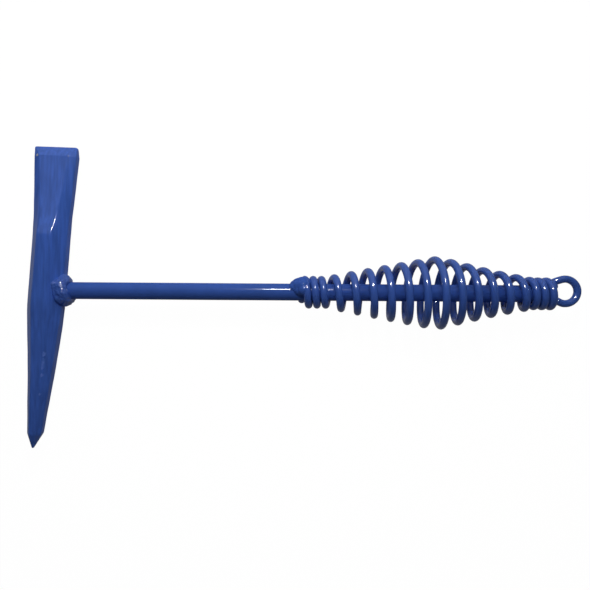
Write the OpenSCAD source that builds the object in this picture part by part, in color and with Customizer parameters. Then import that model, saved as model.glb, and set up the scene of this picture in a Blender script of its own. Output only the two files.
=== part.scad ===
// Chipping hammer: a forged head with a chisel and a pick, welded to a steel rod,
// and a grip wound from one spring wire whose last turn is bent out as a hanging loop.
// The origin lies on the centreline of the rod, level with the middle of the hanging loop.
// +X runs along the rod from the head to the loop, +Y runs along the head to the
// chisel edge, and +Z is the direction of a peg through the loop.

/* [Head] */
// Distance along the rod from the middle of the hanging loop to the middle of the head
reach = 290.7; // [280:0.1:300]
// Width of the octagonal bar, measured along the rod
bar_w = 19.4; // [18:0.1:21]
// Thickness of the octagonal bar
bar_t = 19.4; // [18:0.1:21]
// Width of the bar's front and back flats
front_flat = 8; // [6:0.1:9]
// Height of the bar's side flats
side_flat = 4.6; // [4:0.1:8]
// Distance from the rod's centreline to the chisel edge
chisel_len = 80.2; // [76:0.1:84]
// Width of the chisel edge
chisel_w = 23.8; // [20:0.1:26]
// Thickness of the blade where its bevel starts
blade_t = 8.6; // [6:0.1:11]
// Thickness of the chisel edge
edge_t = 1.6; // [1:0.1:3]
// Length of the chisel's ground bevel
bevel_len = 5.6; // [4:0.1:8]
// Distance from the rod's centreline to the tip of the pick
pick_len = 88.4; // [84:0.1:92]
// Width of the pick where its ground point starts
pick_w = 7.8; // [6:0.1:10]
// Length of the pick's ground point
point_len = 8.6; // [6:0.1:12]
// Lean of the head away from square with the rod, in degrees
head_lean = 4.2; // [0:0.1:6]

/* [Rod] */
// Diameter of the rod
rod_d = 9.5; // [9:0.1:9.6]
// Distance along the rod from the middle of the loop back to the rod's rear end
rod_end = 11.6; // [11:0.1:14]

/* [Grip spring] */
// Diameter of the spring wire
wire_d = 4.15; // [3.8:0.05:4.2]
// Outer diameter of the closed turns at both ends
closed_od = 18.4; // [18.4:0.1:19]
// Outer diameter of the widest turn
barrel_od = 42.2; // [34:0.1:44]
// Distance between neighbouring closed turns
closed_pitch = 4.6; // [4.5:0.05:4.8]
// Distance between neighbouring open turns
open_pitch = 9.24; // [8:0.02:9.5]
// Number of open turns
open_turns = 12.15; // [12.15, 13.15]
// Distance the tops of the open turns lean towards the loop
turn_lean = 0.4; // [0:0.05:0.5]

/* [Hanging loop] */
// Radius of the loop to the middle of the wire
loop_r = 7.1; // [7:0.1:8]
// Distance from the rod's centreline up to the loop's centre
loop_lift = 1.5; // [1:0.1:1.7]
// Distance from the rod's centreline back to the plane of the loop
loop_back = 3; // [2.6:0.1:3.4]
// Distance from the loop's centre back to the last turn's lowest point
loop_gap = 10.1; // [9.8:0.1:11]

/* [Hidden] */

paint = [0.19, 0.29, 0.56];
weld_paint = [0.24, 0.34, 0.60];

rod_r = rod_d / 2;
wire_r = wire_d / 2;
closed_r = closed_od / 2 - wire_r;
barrel_r = barrel_od / 2 - wire_r;

// Turns are counted from the first one's top: whole turns are tops, halves are bottoms.
// The wire starts low behind the rod, and leaves the last turn part of the way up its back.
wire_start = -0.375;
open_start = 2.5;
open_end = open_start + open_turns;
widest = open_start + open_turns * 0.555;
taper_end = open_end + 0.7;
last_low = open_end + 2.85;
wire_end = last_low + 0.3;
steps_per_turn = 18;
wire_sides = 8;

// The straight length of octagonal bar round the middle of the head, the length below it
// over which the bar is drawn in to start the pick, and the length above it of the
// shoulder that drops to the blade
eye_low = -10;
eye_high = 32.5;
draw_in = 8;
shoulder = 9.5;

// The tip of the pick is blunt, and so are the corners of the chisel edge
tip_w = 0.9;
edge_corner = 0.6;

// The head in sections along its own length, from the tip of the pick to the chisel edge.
// Each is [place, offset of its middle in X, width, thickness, front flat, side flat].
head_sections = [
    [-pick_len, -1.1, tip_w, tip_w, tip_w * 0.5, tip_w * 0.5],
    [point_len - pick_len, -0.3, pick_w, pick_w + 0.9, pick_w * 0.44, pick_w * 0.42],
    [eye_low - draw_in, 0.3, bar_w - 1.6, bar_t - 2.6, front_flat, side_flat + 1.2],
    [eye_low, 0, bar_w, bar_t, front_flat, side_flat],
    [eye_high, 0, bar_w, bar_t, front_flat, side_flat],
    [eye_high + shoulder, -0.1, bar_w + 0.7, blade_t + 6, front_flat + 1.2, side_flat + 0.3],
    [chisel_len - bevel_len, -0.5, chisel_w - 0.5, blade_t, chisel_w * 0.66, blade_t * 0.63],
    [chisel_len, -1.2, chisel_w, edge_t, chisel_w - edge_corner, edge_t - edge_corner],
];

// The eight corners of a section of the head, in X and Z
function octagon(w, t, front, side) = [
    for (c = [[w, side], [front, t], [-front, t], [-w, side], [-w, -side], [-front, -t], [front, -t], [w, -side]]) c / 2
];

// Zero below -soft, u above +soft, and a smooth bend between them
function ramp(u, soft = 0.25) = u <= -soft ? 0 : u >= soft ? u : (u + soft) ^ 2 / (4 * soft);

// Place of a turn along X, its radius, and the lean of its top
function turn_x(n) =
    -loop_gap - closed_pitch * (last_low - n)
    - (open_pitch - closed_pitch) * (open_turns - ramp(n - open_start) + ramp(n - open_end));
function swell(n) = max(0, min(
    ((n - open_start) / (widest - open_start)) ^ 0.95,
    n < taper_end ? ((taper_end - n) / (taper_end - widest)) ^ 1.25 : 0
));
function turn_r(n) = n <= open_start ? closed_r : closed_r + (barrel_r - closed_r) * swell(n);
function turn_shift(n) = turn_lean * (ramp(n - open_start) - ramp(n - open_start - 1)
    - ramp((n - widest) / 2) + ramp((n - widest) / 2 - 1));

function coil_point(n) = [
    turn_x(n) + turn_shift(n) * cos(360 * n),
    turn_r(n) * cos(360 * n),
    turn_r(n) * sin(360 * n)
];
coil = [for (i = [0 : (wire_end - wire_start) * steps_per_turn]) coil_point(wire_start + i / steps_per_turn)];

// The wire bends out of the last turn, up into the top of the loop, goes round it by way
// of the far side, and ends at its lower left
loop_start = 105;
loop_stop = -135;
bend_pull = 4;
loop = [for (a = [loop_start : -15 : loop_stop]) [loop_r * cos(a), loop_lift + loop_r * sin(a), -loop_back]];
leaving = coil[len(coil) - 1];
out_bend = [for (u = [0.2 : 0.2 : 0.8]) bezier([
    leaving,
    leaving + bend_pull * unit(leaving - coil[len(coil) - 2]),
    loop[0] - bend_pull * [sin(loop_start), -cos(loop_start), 0],
    loop[0]
], u)];
wire = concat(coil, out_bend, loop);

// A point on the smooth curve that leaves p[0] towards p[1] and comes to p[3] from p[2]
function bezier(p, u) =
    (1 - u) ^ 3 * p[0] + 3 * u * (1 - u) ^ 2 * p[1] + 3 * u ^ 2 * (1 - u) * p[2] + u ^ 3 * p[3];
function unit(v) = v / norm(v);
function direction(path, i) = unit(path[min(i + 1, len(path) - 1)] - path[max(i - 1, 0)]);
function square_to(v, d) = unit(v - (v * d) * d);
function ring(centre, side, d, r) = [
    for (k = [0 : wire_sides - 1])
        centre + r * (cos(360 * k / wire_sides) * side + sin(360 * k / wire_sides) * cross(d, side))
];
// Rings round a path, each turned as little as possible from the one before
function sweep(path, r) = [
    for (
        i = 0, side = square_to([1, 0, 0], direction(path, 0));
        i < len(path);
        i = i + 1, side = square_to(side, direction(path, min(i, len(path) - 1)))
    ) ring(path[i], side, direction(path, i), r)
];

// A closed solid through rings of points that all have the same number of corners
module loft(rings) {
    corners = len(rings[0]);
    last = (len(rings) - 1) * corners;
    polyhedron(
        points = [for (one = rings) each one],
        faces = concat(
            [[for (k = [0 : corners - 1]) k]],
            [for (i = [0 : len(rings) - 2]) for (k = [0 : corners - 1]) let (a = i * corners, b = (k + 1) % corners)
                each [[a + k, a + corners + k, a + corners + b], [a + k, a + corners + b, a + b]]],
            [[for (k = [corners - 1 : -1 : 0]) last + k]]
        ),
        convexity = 10
    );
}

module along_x(from, to, r) {
    translate([from, 0, 0]) rotate([0, 90, 0]) cylinder(h = to - from, r = r, $fn = 64);
}

// Stands its children in the head's own leaning frame, with Y along the head
module at_head() {
    translate([-reach, 0, 0]) rotate([0, 0, -head_lean]) children();
}

module wire_solid(path) {
    loft(sweep(path, wire_r));
}

// A bead of weld metal, given as [x, y, z, radius] from the place that it ties
module bead(place, size) {
    translate(place + [size[0], size[1], size[2]]) sphere(r = size[3], $fn = 32);
}

module head() {
    color(paint) at_head() loft([
        for (s = head_sections) [for (c = octagon(s[2], s[3], s[4], s[5])) [s[1] + c[0], s[0], c[1]]]
    ]);
}

// The rod's square end meets the side of the head, which leans away below it
rod_start = bar_w / 2 / cos(head_lean) + rod_r * tan(head_lean) - reach;
module handle_rod() {
    color(paint) along_x(rod_start, -rod_end, rod_r);
}

module grip_spring() {
    color(paint) wire_solid(wire);
}

// A fillet all round the rod where it meets the head. It is highest against the head,
// laps back round the eye, and thins to a low toe along the rod
weld_r = 8.6;
weld_back = 7;
weld_len = 7.2;
toe_r = rod_r + 0.2;
crown = [for (a = [90 : -15 : 0]) [toe_r + (weld_r - toe_r) * sin(a), weld_len * (1 - 0.75 * sin(a))]];
module head_weld() {
    color(weld_paint) difference() {
        translate([rod_start, 0, 0]) rotate([0, 90, 0]) rotate_extrude($fn = 64)
            polygon(concat([[rod_r, -weld_back], [weld_r, -weld_back]], crown, [[rod_r, weld_len]]));
        at_head() translate([0, eye_high, 0]) rotate([90, 0, 0]) linear_extrude(eye_high - eye_low)
            polygon(octagon(bar_w, bar_t, front_flat, side_flat));
    }
}

// Two beads run into one blob, which ties the first turn to the rod, above and in front of it
front_beads = [[-3.4, 3.2, 2.2, 5.5], [-0.4, 3.6, 2.1, 5.2]];
module front_grip_weld() {
    color(weld_paint) difference() {
        for (size = front_beads) bead([turn_x(0), 0, 0], size);
        along_x(-reach, 0, rod_r);
        wire_solid([for (i = [0 : 2 * steps_per_turn]) coil[i]]);
    }
}

// A smaller bead ties the last turn, the start of the loop and the end of the rod together
rear_bead = [3.3, 4.2, -0.8, 3.7];
module rear_grip_weld() {
    color(weld_paint) difference() {
        bead([-rod_end, 0, 0], rear_bead);
        along_x(-reach, -rod_end, rod_r);
        wire_solid([for (i = [len(coil) - 2 * steps_per_turn : len(wire) - 1]) wire[i]]);
    }
}

head();
handle_rod();
grip_spring();
head_weld();
front_grip_weld();
rear_grip_weld();
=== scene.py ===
"""The looks of the chipping hammer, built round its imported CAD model.

Lengths are worked out in millimetres, in the CAD model's frame: +X along the rod from the
head to the hanging loop, +Y along the head to the chisel edge, +Z towards the camera. MM turns
them into Blender's metres.
"""
import math

import bmesh
import bpy
import numpy as np
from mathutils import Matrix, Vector, noise


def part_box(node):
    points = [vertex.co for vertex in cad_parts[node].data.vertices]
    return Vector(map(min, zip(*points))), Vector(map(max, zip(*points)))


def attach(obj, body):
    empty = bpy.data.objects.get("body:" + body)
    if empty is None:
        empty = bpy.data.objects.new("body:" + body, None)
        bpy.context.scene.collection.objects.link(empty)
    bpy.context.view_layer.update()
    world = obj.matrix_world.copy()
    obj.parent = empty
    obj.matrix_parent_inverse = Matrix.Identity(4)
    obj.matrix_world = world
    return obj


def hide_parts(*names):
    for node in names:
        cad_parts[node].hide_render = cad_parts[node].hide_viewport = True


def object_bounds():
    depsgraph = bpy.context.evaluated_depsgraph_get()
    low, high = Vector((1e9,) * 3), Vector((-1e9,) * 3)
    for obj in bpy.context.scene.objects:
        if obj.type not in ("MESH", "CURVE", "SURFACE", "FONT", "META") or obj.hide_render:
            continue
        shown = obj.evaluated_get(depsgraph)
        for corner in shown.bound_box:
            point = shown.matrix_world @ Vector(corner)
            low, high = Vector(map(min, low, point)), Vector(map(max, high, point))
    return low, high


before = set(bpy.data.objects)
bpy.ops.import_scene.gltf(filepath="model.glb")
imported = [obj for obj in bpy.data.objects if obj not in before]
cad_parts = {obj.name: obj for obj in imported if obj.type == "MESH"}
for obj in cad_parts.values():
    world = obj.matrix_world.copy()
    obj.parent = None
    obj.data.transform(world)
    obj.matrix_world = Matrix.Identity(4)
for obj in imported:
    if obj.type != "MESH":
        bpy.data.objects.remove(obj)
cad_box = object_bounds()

MM = 0.001

# The rod, from the frame
rod_low, rod_high = (np.array(corner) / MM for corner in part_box("handle_rod"))
ROD_R = (rod_high[1] - rod_low[1]) / 2
ROD_END = rod_high[0]

# The head: how far from the loop's eye it crosses the rod's line, its lean, the width across
# its flats, and places along it from that crossing
REACH = 290.7
HEAD_LEAN = math.radians(4.2)
BAR = 19.4
CHISEL_EDGE = 80.2
BEVEL_START = CHISEL_EDGE - 5.6
PICK_TIP = -88.4

# The grip spring. Turns are counted from its first top, so whole numbers are tops and halves
# are bottoms.
WIRE_R = 2.075
CLOSED_R = 9.2 - WIRE_R
BARREL_R = 20.95 - WIRE_R
CLOSED_PITCH = 4.6
OPEN_PITCH = 9.24
OPEN_TURNS = 12.15
WIRE_START = -0.375
OPEN_START = 2.5
OPEN_END = OPEN_START + OPEN_TURNS
WIDEST = OPEN_START + OPEN_TURNS * 0.555
TAPER_END = OPEN_END + 0.7
LAST_LOW = OPEN_END + 2.85
WIRE_END = LAST_LOW + 0.3
SWELL_POWER = 0.95
TAPER_POWER = 1.25
TURN_LEAN = 0.4

# The hanging loop: the gap from its eye to the last turn's bottom, its ring, where the ring
# starts and stops in degrees from +X, and how strongly the bend into it keeps its directions
LOOP_GAP = 10.1
LOOP_R = 6.93
LOOP_LIFT = 1.5
LOOP_BACK = 3
LOOP_START = 105
LOOP_STOP = -135
BEND_PULL = 4


# ---------------------------------------------------------------- meshes

# Rings in the rounding of an end
END_STEPS = 6


def new_piece(name, points, faces, material, node):
    """A smooth mesh piece that stands for a CAD node, from points in millimetres."""
    mesh = bpy.data.meshes.new(name)
    mesh.from_pydata((points * MM).tolist(), [], faces)
    mesh.validate()
    mesh.polygons.foreach_set("use_smooth", [True] * len(mesh.polygons))
    mesh.materials.append(material)
    piece = bpy.data.objects.new(name, mesh)
    bpy.context.scene.collection.objects.link(piece)
    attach(piece, "root")
    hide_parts(node)


def loft(rings):
    """Points and faces of a closed skin through rings that all have the same number of points."""
    rings = np.asarray(rings, float)
    count, corners, _ = rings.shape
    points = np.vstack([rings.reshape(-1, 3), rings[0].mean(0), rings[-1].mean(0)])
    faces = []
    for i in range(count - 1):
        for k in range(corners):
            a, b = i * corners + k, i * corners + (k + 1) % corners
            faces.append((a, b, b + corners, a + corners))
    first, last = count * corners, count * corners + 1
    for k in range(corners):
        after = (k + 1) % corners
        faces.append((after, k, first))
        faces.append(((count - 1) * corners + k, (count - 1) * corners + after, last))
    return points, faces


def tube(path, radii, sides):
    """A tube round a path, with a radius for each point of the path."""
    path = np.asarray(path, float)
    along = np.gradient(path, axis=0)
    along /= np.linalg.norm(along, axis=1)[:, None]
    turns = 2 * math.pi * np.arange(sides) / sides
    # Any direction that the path doesn't start along
    side = np.array([0.0, 0.3, 1.0])
    rings = []
    for centre, direction, r in zip(path, along, radii):
        side = side - side @ direction * direction
        side /= np.linalg.norm(side)
        other = np.cross(direction, side)
        rings.append(centre + r * (np.outer(np.cos(turns), side) + np.outer(np.sin(turns), other)))
    return loft(rings)


def soft_end(radius):
    """Where the rings of a rounded end lie: (distance from the end, how far the ring is drawn in)."""
    angles = np.linspace(0, math.pi / 2, END_STEPS)
    return [(radius * (1 - math.sin(a)), radius * (1 - math.cos(a))) for a in angles]


def ripple(points, size, depth, seed, stretch=(1, 1, 1)):
    """One noise value for each point: waves about as long as size, times stretch along each axis."""
    scaled = points / (size * np.array(stretch))
    return depth * np.array([noise.noise(Vector(p) + Vector((seed, seed, seed))) for p in scaled])


def ramp(u, soft):
    """Zero below -soft, u above +soft, and a smooth bend between them."""
    return np.where(u <= -soft, 0, np.where(u >= soft, u, (u + soft) ** 2 / (4 * soft)))


# ---------------------------------------------------------------- the head

# Sections along the head, from the tip of the pick to the chisel edge. Each is [place, offset of
# its middle in X, width, thickness, front flat, side flat, radius of its arrises, and how softly
# the stretches on its two sides meet].
HEAD_SECTIONS = np.array([
    [PICK_TIP, -1.1, 0.9, 0.9, 0.45, 0.45, 0.2, 0.1],
    [PICK_TIP + 8.6, -0.3, 7.8, 8.7, 3.4, 3.3, 0.6, 0.5],
    [-44, 0.35, 13.5, 13.6, 5.8, 4.8, 0.8, 6.0],
    [-19, 0.3, 17.6, 16.6, 8.0, 5.8, 1.0, 4.0],
    [-9, 0.0, BAR, BAR, 8.0, 4.6, 1.4, 4.0],
    [31.5, 0.0, BAR, BAR, 7.5, 4.6, 1.6, 2.0],
    [41, -0.1, 20.0, 13.0, 8.9, 4.4, 1.6, 4.0],
    [54, -0.2, 21.2, 10.2, 11.9, 4.8, 1.2, 4.0],
    [BEVEL_START, -0.55, 23.3, 8.6, 15.6, 4.5, 0.6, 0.1],
    [CHISEL_EDGE, -1.2, 23.8, 1.6, 23.2, 1.0, 0.25, 0.1],
])

# The rings of the head's skin: their spacing along the head and near the edge, the extra ones
# about the bevel's line, and the points on each arris and each flat
HEAD_STEP = 0.6
EDGE_STEP = 0.2
BEVEL_RINGS = (-0.2, -0.1, 0, 0.1, 0.2)
ARC_STEPS = 5
FLAT_STEPS = 5

# The rounding of the tip and of the edge, and of the edge's two corners
TIP_ROUND = 0.35
EDGE_ROUND = 0.4
EDGE_CORNER = 1.2

# The edge's slope out of square, and the stretch of the head over which it comes in
EDGE_SLOPE = math.tan(math.radians(2.5))
SLOPE_START = 50
SLOPE_LENGTH = 25

# How much of a side its arrises may take up at each end
ARRIS_SHARE = 0.45

# Points nearer to the head's middle line than this are moved less by its forging marks
MARKS_FADE = 0.5


def head_section(place):
    """The section's values at a place along the head."""
    places, softness = HEAD_SECTIONS[:, 0], HEAD_SECTIONS[:, -1]
    values = HEAD_SECTIONS[:, 1:-1]
    slopes = np.diff(values, axis=0) / np.diff(places)[:, None]
    found = values[0] + slopes[0] * (place - places[0])
    for i in range(1, len(slopes)):
        found = found + (slopes[i] - slopes[i - 1]) * ramp(place - places[i], softness[i])
    return found


def rounded_octagon(width, thickness, front, side, radius):
    """The outline, in X and Z, of an octagon whose eight arrises are rounded."""
    w, t, f, s = width / 2, thickness / 2, front / 2, side / 2
    corners = np.array([(w, -s), (f, -t), (-f, -t), (-w, -s), (-w, s), (-f, t), (f, t), (w, s)])
    before = corners - np.roll(corners, 1, axis=0)
    lengths = np.linalg.norm(before, axis=1)
    before /= lengths[:, None]
    after = np.roll(before, -1, axis=0)
    turn = np.arccos(np.clip((before * after).sum(1), -1, 1))
    room = ARRIS_SHARE * np.minimum(lengths, np.roll(lengths, -1))
    reach = np.minimum(radius * np.tan(turn / 2), room)[:, None]
    start, end = corners - before * reach, corners + after * reach
    outline = []
    for k in range(8):
        for u in np.linspace(0, 1, ARC_STEPS):
            outline.append((1 - u) ** 2 * start[k] + 2 * u * (1 - u) * corners[k] + u * u * end[k])
        for u in np.linspace(0, 1, FLAT_STEPS + 2)[1:-1]:
            outline.append((1 - u) * end[k] + u * start[(k + 1) % 8])
    return np.array(outline)


def head_places():
    """Places of the rings along the head, each with how far its outline is drawn in at the ends."""
    plain = np.arange(PICK_TIP + TIP_ROUND + HEAD_STEP, CHISEL_EDGE - EDGE_CORNER, HEAD_STEP)
    plain = np.sort(np.append(plain, BEVEL_START + np.array(BEVEL_RINGS)))
    cornered = np.arange(EDGE_CORNER, EDGE_ROUND + EDGE_STEP / 2, -EDGE_STEP)
    places = [(PICK_TIP + d, inset) for d, inset in reversed(soft_end(TIP_ROUND))]
    places += [(p, 0) for p in plain]
    places += [(CHISEL_EDGE - d, 0) for d in cornered]
    places += [(CHISEL_EDGE - d, inset) for d, inset in soft_end(EDGE_ROUND)]
    return places


def ground_edge(points):
    """Tips the chisel edge out of square with the head, as it has been ground."""
    share = np.clip((points[:, 1] - SLOPE_START) / SLOPE_LENGTH, 0, 1) ** 2
    tipped = points.copy()
    tipped[:, 1] += EDGE_SLOPE * points[:, 0] * share
    return tipped


def lean(points):
    """From the head's own frame, with Y along it, to where it stands on the rod."""
    x, y, z = np.asarray(points, float).T
    c, s = math.cos(HEAD_LEAN), math.sin(HEAD_LEAN)
    return np.stack([c * x + s * y - REACH, c * y - s * x, z], axis=1)


def forged_head(material):
    """The head, with hammer marks and the faint length-wise draw lines of its forging."""
    rings = []
    for place, inset in head_places():
        offset, width, thickness, front, side, radius = head_section(place)
        corner = max(0, EDGE_CORNER - (CHISEL_EDGE - place))
        width -= 2 * (inset + EDGE_CORNER - math.sqrt(EDGE_CORNER ** 2 - corner ** 2))
        front = min(front, width) - inset
        outline = rounded_octagon(width, thickness - 2 * inset, front, side - inset, radius)
        ring = np.column_stack([outline[:, 0] + offset, np.full(len(outline), place), outline[:, 1]])
        rings.append(ring)
    points, faces = loft(rings)
    outward = points * [1, 0, 1]
    outward /= np.maximum(np.linalg.norm(outward, axis=1), MARKS_FADE)[:, None]
    hammer_marks = ripple(points, size=11, depth=0.16, seed=3)
    draw_lines = ripple(points, size=2.2, depth=0.05, seed=9, stretch=(1, 6, 1))
    points = points + outward * (hammer_marks + draw_lines)[:, None]
    new_piece("forged_head", lean(ground_edge(points)), faces, material, "head")


# ---------------------------------------------------------------- the rod

# Sides to a ring of the bar, the spacing of its rings, and the rounding of its ends
ROD_SIDES = 56
ROD_STEP = 1.0
ROD_ROUND = 0.5


def handle_bar(material):
    """The round bar, from inside the head weld to its sawn end in the last turns of the spring."""
    places = [(rod_low[0] + d, inset) for d, inset in reversed(soft_end(ROD_ROUND))]
    places += [(x, 0) for x in np.arange(rod_low[0] + ROD_STEP, ROD_END - ROD_STEP, ROD_STEP)]
    places += [(ROD_END - d, inset) for d, inset in soft_end(ROD_ROUND)]
    path = [(x, 0, 0) for x, _ in places]
    radii = [ROD_R - inset for _, inset in places]
    points, faces = tube(path, radii, ROD_SIDES)
    swell = 1 + ripple(points, size=16, depth=0.03, seed=21, stretch=(2, 1, 1)) / ROD_R
    points = points * np.column_stack([np.ones(len(points)), swell, swell])
    new_piece("handle_bar", points, faces, material, "handle_rod")


# ---------------------------------------------------------------- the grip spring

# Rings to a turn of the wire and sides to a ring, steps in the bend, and degrees between the
# rings of the loop
WIRE_STEPS = 72
WIRE_SIDES = 22
BEND_STEPS = 20
LOOP_STEP = 5

# How softly, in turns, one pitch or lean runs into the next
TURN_SOFT = 0.25

# How far the rings nearest to each end of the wire are drawn in, from the end on
CUT_END = np.array([0.25, 0.08, 0.02])


def turn_x(n):
    """Place along the rod of turn n."""
    closed = -LOOP_GAP - CLOSED_PITCH * (LAST_LOW - n)
    spread = OPEN_TURNS - ramp(n - OPEN_START, TURN_SOFT) + ramp(n - OPEN_END, TURN_SOFT)
    return closed - (OPEN_PITCH - CLOSED_PITCH) * spread


def turn_radius(n):
    """Radius of turn n: small at both ends, widest at a little over half way."""
    rise = np.clip((n - OPEN_START) / (WIDEST - OPEN_START), 0, None) ** SWELL_POWER
    fall = np.clip((TAPER_END - n) / (TAPER_END - WIDEST), 0, None) ** TAPER_POWER
    return CLOSED_R + (BARREL_R - CLOSED_R) * np.minimum(rise, fall)


def step_up(u):
    """Zero before 0, one after 1, and a straight rise with soft ends between them."""
    return ramp(u, TURN_SOFT) - ramp(u - 1, TURN_SOFT)


def turn_shift(n):
    """How far the top of turn n leans towards the loop.

    The lean comes in over the first open turn and goes over the two turns past the widest.
    """
    return TURN_LEAN * (step_up(n - OPEN_START) - step_up((n - WIDEST) / 2))


def coil_path():
    """Points along the middle of the wire, through all of its turns."""
    n = np.linspace(WIRE_START, WIRE_END, int((WIRE_END - WIRE_START) * WIRE_STEPS))
    angle = 2 * math.pi * n
    x = turn_x(n) + turn_shift(n) * np.cos(angle)
    r = turn_radius(n)
    return np.column_stack([x, r * np.cos(angle), r * np.sin(angle)])


def loop_path(leaving, heading):
    """Bends out of the last turn, up into the top of the hanging loop, and goes round it."""
    start = math.radians(LOOP_START)
    ring = np.radians(np.arange(LOOP_START, LOOP_STOP - 1, -LOOP_STEP))
    eye = np.column_stack([
        LOOP_R * np.cos(ring), LOOP_LIFT + LOOP_R * np.sin(ring), np.full(len(ring), -LOOP_BACK)])
    arriving = np.array([math.sin(start), -math.cos(start), 0])
    pulls = [leaving, leaving + BEND_PULL * heading, eye[0] - BEND_PULL * arriving, eye[0]]
    u = np.linspace(0, 1, BEND_STEPS)[1:-1, None]
    weights = [(1 - u) ** 3, 3 * u * (1 - u) ** 2, 3 * u ** 2 * (1 - u), u ** 3]
    bend = sum(weight * point for weight, point in zip(weights, pulls))
    return np.vstack([bend, eye])


def grip_wire(material):
    """The one length of wire: its turns, the bend out of the last of them, and the hanging loop."""
    coil = coil_path()
    heading = coil[-1] - coil[-2]
    path = np.vstack([coil, loop_path(coil[-1], heading / np.linalg.norm(heading))])
    radii = np.full(len(path), WIRE_R)
    radii[:len(CUT_END)] -= CUT_END
    radii[-len(CUT_END):] -= CUT_END[::-1]
    points, faces = tube(path, radii, WIRE_SIDES)
    new_piece("grip_wire", points, faces, material, "grip_spring")


# ---------------------------------------------------------------- the welds

# The size of the cells in which balls of weld metal are run together
WELD_CELL = 0.3

# How far apart the balls of a strand lie, as a share of their radius
STRAND_SPACING = 0.5

# Where the middles of the head and of the rod cross
JOINT = np.array([-REACH, 0, 0])

# The head weld's ring round the rod: its radius, how far it lies from the joint, its balls, how
# far it wavers, and how far its top leans to the head
RING_R = 5.3
RING_X = 10.2
RING_COUNT = 28
RING_BALL_R = 3.4
RING_WAVER = 0.5
RING_LEAN = 0.7

# The head weld's strands, on the side of the camera: (start, end, radius at the start, radius at
# the end), with places from the joint
HEAD_STRANDS = (
    ((5.7, 3.2, 6.2), (9.8, 6.7, 1.8), 1.9, 2.6),
    ((5.9, 2.8, 6.1), (7.8, -3.2, 4.6), 2.0, 2.5),
    ((7.8, -3.2, 4.6), (10.4, -6.2, 1.4), 2.5, 2.9),
    ((8.2, 3.2, 4.3), (9.0, -3.6, 3.7), 3.7, 3.9),
)


def strand(start, end, r_start, r_end):
    """Overlapping balls of weld metal along a line: (centre, radius)."""
    start, end = np.array(start, float), np.array(end, float)
    length = np.linalg.norm(end - start)
    count = max(1, int(length / (STRAND_SPACING * (r_start + r_end) / 2)))
    for u in np.linspace(0, 1, count + 1):
        yield start + u * (end - start), r_start + u * (r_end - r_start)


def melted(balls, smoothing):
    """Points and faces of balls run together into one skin."""
    ball_mesh = bmesh.new()
    for centre, radius in balls:
        made = bmesh.ops.create_icosphere(ball_mesh, subdivisions=3, radius=radius)
        bmesh.ops.translate(ball_mesh, verts=made["verts"], vec=Vector(centre))
    mesh = bpy.data.meshes.new("balls")
    ball_mesh.to_mesh(mesh)
    ball_mesh.free()
    holder = bpy.data.objects.new("balls", mesh)
    bpy.context.scene.collection.objects.link(holder)
    remesh = holder.modifiers.new("run_together", "REMESH")
    remesh.mode = "VOXEL"
    remesh.voxel_size = WELD_CELL
    smooth = holder.modifiers.new("flow", "SMOOTH")
    smooth.iterations = smoothing
    made = holder.evaluated_get(bpy.context.evaluated_depsgraph_get()).to_mesh()
    points = np.array([v.co for v in made.vertices])
    faces = [tuple(p.vertices) for p in made.polygons]
    holder.to_mesh_clear()
    bpy.data.objects.remove(holder)
    bpy.data.meshes.remove(mesh)
    return points, faces


def lumpy(points, centre, size, depth, seed):
    """Pushes points in and out from a centre by noise."""
    outward = points - centre
    outward /= np.linalg.norm(outward, axis=1)[:, None]
    return points + outward * ripple(points, size, depth, seed)[:, None]


def head_weld(material):
    """A rough weld round the rod, which laps onto the front chamfer of the head."""
    balls = []
    for k in range(RING_COUNT):
        a = 2 * math.pi * k / RING_COUNT
        along = RING_X + RING_WAVER * math.sin(3 * a + 1) - RING_LEAN * math.cos(a)
        balls.append((JOINT + [along, RING_R * math.cos(a), RING_R * math.sin(a)], RING_BALL_R))
    for ends_and_radii in HEAD_STRANDS:
        balls += [(JOINT + centre, radius) for centre, radius in strand(*ends_and_radii)]
    points, faces = melted(balls, smoothing=8)
    middle = JOINT + [8, 0, 0]
    points = lumpy(points, middle, size=3.4, depth=0.35, seed=5)
    points = lumpy(points, middle, size=1.3, depth=0.4, seed=5)
    new_piece("head_weld_bead", points, faces, material, "head_weld")


def front_grip_weld(material):
    """A smooth blob over the first turn's top, run down onto the rod."""
    # On the rod's middle line, level with the first top
    level = np.array([float(turn_x(0.0)), 0, 0])
    balls = [
        (level + [-6.2, 2.6, 2.8], 2.8),
        (level + [-5.0, 3.2, 2.2], 3.6),
        (level + [-3.0, 3.5, 2.4], 4.6),
        (level + [-1.4, 4.0, 2.6], 4.7),
        (level + [-0.4, 4.3, 2.6], 4.5),
        (level + [-3.0, 1.4, 3.6], 3.6),
        (level + [-0.9, 3.6, 4.8], 3.9),
        (level + [-0.5, 1.4, 6.0], 3.4),
    ]
    points, faces = melted(balls, smoothing=12)
    points = lumpy(points, level + [-2, 3, 2], size=5, depth=0.2, seed=12)
    new_piece("front_grip_weld_blob", points, faces, material, "front_grip_weld")


def rear_grip_weld(material):
    """A small blob in the crook between the last turn, the end of the loop and the rod."""
    middle = np.array([ROD_END + 3.0, 4.3, -1.0])
    balls = [(middle, 3.2), (middle + [-1.6, -1.0, 0.2], 2.8), (middle + [0.4, 1.2, -1.6], 2.6)]
    points, faces = melted(balls, smoothing=8)
    points = lumpy(points, middle, size=3, depth=0.25, seed=17)
    new_piece("rear_grip_weld_blob", points, faces, material, "rear_grip_weld")


# ---------------------------------------------------------------- materials

PAINT = (0.052, 0.130, 0.52)
PAINT_DEEP = (0.046, 0.117, 0.46)
# Lighter blue for edges: partly thinner paint, partly a painted sheen standing in for the grazing
# reflection on them
PAINT_THIN_AND_SHEEN = (0.10, 0.19, 0.58)
PRIMER = (0.42, 0.47, 0.52)
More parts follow.
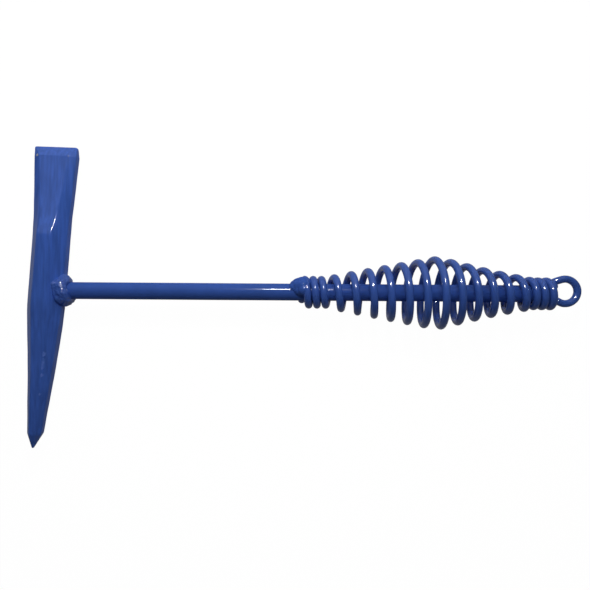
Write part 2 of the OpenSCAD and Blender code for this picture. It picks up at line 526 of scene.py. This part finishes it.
# The share of the deep paint colour that is kept in the painted shade in the grooves of the draw lines
GROOVE_PAINTED_SHADE = 0.84
PAINT_ROUGHNESS = (0.35, 0.5)
COAT_ROUGHNESS = 0.13

# Ranges of a noise texture's values: the wide one keeps its waves soft, the narrow one sharpens them
WIDE = (0.3, 0.7)
NARROW = (0.35, 0.65)

# Pointiness is a half on a flat and more on an edge. Between these two values the paint grows lighter,
# partly as thinner paint and partly as a painted sheen that stands in for the grazing reflection on edges.
THINNING_AND_SHEEN = (0.52, 0.62)

# Nearness to the middle of a chip is 1 there and 0 at its radius, times a ragged share. Paint
# gives way to primer between the two values of the rim.
CHIP_SHARE = (0.35, 1)
CHIP_RIM = (0.22, 0.26)


class Shader:
    """A material's node tree, with short ways to add and join its nodes."""

    def __init__(self, name):
        self.material = bpy.data.materials.new(name)
        self.material.use_nodes = True
        self.tree = self.material.node_tree
        self.surface = self.tree.nodes["Principled BSDF"]
        self.place = self.add("ShaderNodeTexCoord").outputs["Object"]

    def add(self, kind, **settings):
        """A new node of a kind, with its settings."""
        node = self.tree.nodes.new(kind)
        for key, value in settings.items():
            setattr(node, key, value)
        return node

    def join(self, source, target):
        """Feeds a node's output into another's input."""
        self.tree.links.new(source, target)

    def noise(self, size, detail, stretch=(1, 1, 1)):
        """Noise whose waves are about as long as size, in millimetres."""
        mapping = self.add("ShaderNodeMapping")
        mapping.inputs["Scale"].default_value = [1 / s for s in stretch]
        self.join(self.place, mapping.inputs["Vector"])
        texture = self.add("ShaderNodeTexNoise")
        texture.inputs["Scale"].default_value = 1 / (size * MM)
        texture.inputs["Detail"].default_value = detail
        self.join(mapping.outputs["Vector"], texture.inputs["Vector"])
        return texture.outputs["Fac"]

    def spread(self, value, low, high, to_low=0.0, to_high=1.0):
        """Turns values from low to high into values from to_low to to_high."""
        node = self.add("ShaderNodeMapRange")
        for key, number in zip(("From Min", "From Max", "To Min", "To Max"), (low, high, to_low, to_high)):
            node.inputs[key].default_value = number
        self.join(value, node.inputs["Value"])
        return node.outputs["Result"]

    def times(self, a, b):
        """The product of two nodes' outputs."""
        node = self.add("ShaderNodeMath", operation="MULTIPLY")
        self.join(a, node.inputs[0])
        self.join(b, node.inputs[1])
        return node.outputs["Value"]

    def blend(self, share, low, high):
        """A colour between low and high, each a colour or another node's output."""
        node = self.add("ShaderNodeMix", data_type="RGBA")
        self.join(share, node.inputs[0])
        # The mix node's sockets for colours are its inputs 6 and 7 and its output 2
        for socket, value in ((node.inputs[6], low), (node.inputs[7], high)):
            if isinstance(value, tuple):
                socket.default_value = (*value, 1)
            else:
                self.join(value, socket)
        return node.outputs[2]

    def near(self, point, radius):
        """One at a point in millimetres, and zero from radius on."""
        node = self.add("ShaderNodeVectorMath", operation="DISTANCE")
        node.inputs[1].default_value = [c * MM for c in point]
        self.join(self.place, node.inputs[0])
        return self.spread(node.outputs["Value"], 0, radius * MM, 1, 0)

    def bump(self, layers):
        """Bumps from (height, depth in millimetres) layers, one on another."""
        normal = None
        for height, depth in layers:
            node = self.add("ShaderNodeBump")
            node.inputs["Strength"].default_value = 1
            node.inputs["Distance"].default_value = depth * MM
            self.join(height, node.inputs["Height"])
            if normal is not None:
                self.join(normal, node.inputs["Normal"])
            normal = node.outputs["Normal"]
        self.join(normal, self.surface.inputs["Normal"])
        self.join(normal, self.surface.inputs["Coat Normal"])


def enamel(name, gloss, peel, streaks=0.0, grit=0.0, chip=None, painted_light=1.0):
    """Glossy blue enamel over steel: mottled, orange-peeled, lighter on its edges from thinner paint and a
    painted sheen standing in for their grazing reflection, and with painted shade in the grooves of any
    draw lines.

    gloss is the weight of its clear coat, which does all of the reflecting. peel, streaks and
    grit are depths in millimetres. chip is a bare spot's (place, radius). The last argument is
    painted light: a factor that makes the paint lighter, standing in for stronger light on that part.
    """
    deep, full, thin_and_sheen = (tuple(painted_light * c for c in colour) for colour in (PAINT_DEEP, PAINT, PAINT_THIN_AND_SHEEN))
    shader = Shader(name)
    surface = shader.surface
    mottle = shader.spread(shader.noise(size=14, detail=4), *WIDE)
    colour = shader.blend(mottle, deep, full)
    if streaks:
        # Painted shade: the paint is darkened in the grooves of the draw lines, the low places of the same
        # noise that bumps the surface
        drawn = shader.noise(size=1.6, detail=3, stretch=(1, 12, 1))
        groove_shade = tuple(GROOVE_PAINTED_SHADE * c for c in deep)
        colour = shader.blend(shader.spread(drawn, *NARROW), groove_shade, colour)
    # Painted sheen: edges grow lighter, partly as thinner paint and partly standing in for the grazing
    # reflection of the surroundings on them
    pointed = shader.add("ShaderNodeNewGeometry").outputs["Pointiness"]
    patchy = shader.spread(shader.noise(size=3, detail=3), *NARROW)
    edge = shader.times(shader.spread(pointed, *THINNING_AND_SHEEN), patchy)
    colour = shader.blend(edge, colour, thin_and_sheen)
    rough = shader.spread(shader.noise(size=2.5, detail=3), *WIDE, *PAINT_ROUGHNESS)
    if chip is not None:
        ragged = shader.spread(shader.noise(size=0.7, detail=3), *NARROW, *CHIP_SHARE)
        bare = shader.spread(shader.times(shader.near(*chip), ragged), *CHIP_RIM)
        colour = shader.blend(bare, colour, PRIMER)
    shader.join(colour, surface.inputs["Base Color"])
    shader.join(rough, surface.inputs["Roughness"])
    surface.inputs["Specular IOR Level"].default_value = 0
    surface.inputs["Coat Weight"].default_value = gloss
    surface.inputs["Coat Roughness"].default_value = COAT_ROUGHNESS
    layers = [(shader.noise(size=1.1, detail=1), peel)]
    if streaks:
        layers.append((drawn, streaks))
    if grit:
        layers.append((shader.noise(size=0.8, detail=4), grit))
    shader.bump(layers)
    return shader.material


# ---------------------------------------------------------------- the studio

FLOOR_HALF = 4000
FLOOR_GAP = 0.3
FLOOR_GREY = 0.25
FLOOR_ROUGHNESS = 0.9
FLOOR_GLOW = 1.12

# How much of the floor's glow the camera sees, and how much the enamel mirrors
GLOW_SEEN = 0.88
GLOW_MIRRORED = 0.3


def floor():
    """A plain pale floor just under the hammer. It glows white for the camera, fainter in the enamel."""
    mesh = bpy.data.meshes.new("floor")
    half = FLOOR_HALF * MM
    level = cad_box[0].z - FLOOR_GAP * MM
    corners = [(-half, -half), (half, -half), (half, half), (-half, half)]
    mesh.from_pydata([(x, y, level) for x, y in corners], [], [(0, 1, 2, 3)])
    material = bpy.data.materials.new("floor")
    material.use_nodes = True
    tree = material.node_tree
    matte = tree.nodes["Principled BSDF"]
    matte.inputs["Base Color"].default_value = (FLOOR_GREY, FLOOR_GREY, FLOOR_GREY, 1)
    matte.inputs["Roughness"].default_value = FLOOR_ROUGHNESS
    glow = tree.nodes.new("ShaderNodeEmission")
    glow.inputs["Strength"].default_value = FLOOR_GLOW
    seen = tree.nodes.new("ShaderNodeLightPath")
    mirrored = tree.nodes.new("ShaderNodeMath")
    mirrored.operation = "MULTIPLY"
    mirrored.inputs[1].default_value = GLOW_MIRRORED
    share = tree.nodes.new("ShaderNodeMath")
    share.operation = "MULTIPLY_ADD"
    share.inputs[1].default_value = GLOW_SEEN
    mix = tree.nodes.new("ShaderNodeMixShader")
    tree.links.new(seen.outputs["Is Glossy Ray"], mirrored.inputs[0])
    tree.links.new(seen.outputs["Is Camera Ray"], share.inputs[0])
    tree.links.new(mirrored.outputs["Value"], share.inputs[2])
    tree.links.new(share.outputs["Value"], mix.inputs["Fac"])
    tree.links.new(matte.outputs["BSDF"], mix.inputs[1])
    tree.links.new(glow.outputs["Emission"], mix.inputs[2])
    tree.links.new(mix.outputs["Shader"], tree.nodes["Material Output"].inputs["Surface"])
    mesh.materials.append(material)
    plane = bpy.data.objects.new("floor", mesh)
    bpy.context.scene.collection.objects.link(plane)


def area_light(name, place, target, width, height, power, diffuse=True, glossy=True):
    """A lamp of width by height at a place, facing a target."""
    data = bpy.data.lights.new(name, "AREA")
    data.shape = "RECTANGLE"
    data.size = width * MM
    data.size_y = height * MM
    data.energy = power
    lamp = bpy.data.objects.new(name, data)
    lamp.visible_diffuse = diffuse
    lamp.visible_glossy = glossy
    lamp.location = Vector(place) * MM
    lamp.rotation_euler = (Vector(target) - Vector(place)).to_track_quat("-Z", "Y").to_euler()
    bpy.context.scene.collection.objects.link(lamp)


def soft_surroundings(strength):
    """Even soft light from all round, seen as white where the floor ends."""
    world = bpy.data.worlds.new("surroundings")
    world.use_nodes = True
    tree = world.node_tree
    light = tree.nodes["Background"]
    light.inputs["Color"].default_value = (1, 1, 1, 1)
    light.inputs["Strength"].default_value = strength
    backdrop = tree.nodes.new("ShaderNodeBackground")
    backdrop.inputs["Color"].default_value = (1, 1, 1, 1)
    seen = tree.nodes.new("ShaderNodeLightPath")
    mix = tree.nodes.new("ShaderNodeMixShader")
    tree.links.new(seen.outputs["Is Camera Ray"], mix.inputs["Fac"])
    tree.links.new(light.outputs["Background"], mix.inputs[1])
    tree.links.new(backdrop.outputs["Background"], mix.inputs[2])
    tree.links.new(mix.outputs["Shader"], tree.nodes["World Output"].inputs["Surface"])
    bpy.context.scene.world = world


CAMERA_X = -152.4
CAMERA_Y = -1.6
CAMERA_HEIGHT = 293.4
CAMERA_ROLL = math.radians(0.4)
VIEW_HALF_WIDTH = 164.8
NEAREST_SEEN = 10


def straight_down_camera():
    """Looks straight down on the hammer, with +X to the right and +Y up."""
    data = bpy.data.cameras.new("camera")
    data.angle = 2 * math.atan(VIEW_HALF_WIDTH / CAMERA_HEIGHT)
    data.clip_start = NEAREST_SEEN * MM
    camera = bpy.data.objects.new("camera", data)
    camera.location = Vector((CAMERA_X, CAMERA_Y, CAMERA_HEIGHT)) * MM
    camera.rotation_euler = (0, 0, CAMERA_ROLL)
    bpy.context.scene.collection.objects.link(camera)
    bpy.context.scene.camera = camera


# ---------------------------------------------------------------- the scene

# The chip is at the left end of the bevel's line
CHIP_PLACE = lean([(-10.4, BEVEL_START - 0.2, 3.9)])[0]
CHIP_R = 1.6

# The head's paint is made 1.38 times lighter as painted light. It stands in for the stronger light that
# falls on the head than on the rod and wire.
forged_enamel = enamel(
    "forged_enamel", gloss=0.45, peel=0.03, streaks=0.03, chip=(CHIP_PLACE, CHIP_R), painted_light=1.38)
forged_head(forged_enamel)
handle_bar(enamel("bar_enamel", gloss=0.17, peel=0.003))
grip_wire(enamel("wire_enamel", gloss=0.6, peel=0.006))
head_weld(enamel("rough_weld_enamel", gloss=0.7, peel=0.02, grit=0.04))
smooth_weld_enamel = enamel("smooth_weld_enamel", gloss=0.08, peel=0.008)
front_grip_weld(smooth_weld_enamel)
rear_grip_weld(smooth_weld_enamel)

floor()
straight_down_camera()
# The softbox stands beyond the chisel edge. The key lamp lights the paint but isn't mirrored in
# it, and the glints lamp is only mirrored.
area_light(
    "softbox", place=(-190, 232, 150), target=(-190, 0, 18), width=600, height=376, power=0.56)
area_light(
    "key", place=(CAMERA_X, 180, 300), target=(CAMERA_X, 0, 0), width=60, height=60, power=0.25,
    glossy=False)
area_light(
    "glints", place=(CAMERA_X, 225, 300), target=(CAMERA_X, 0, 0), width=70, height=34, power=4.8,
    diffuse=False)
soft_surroundings(strength=0.1)
bpy.context.scene.view_settings.view_transform = "Standard"
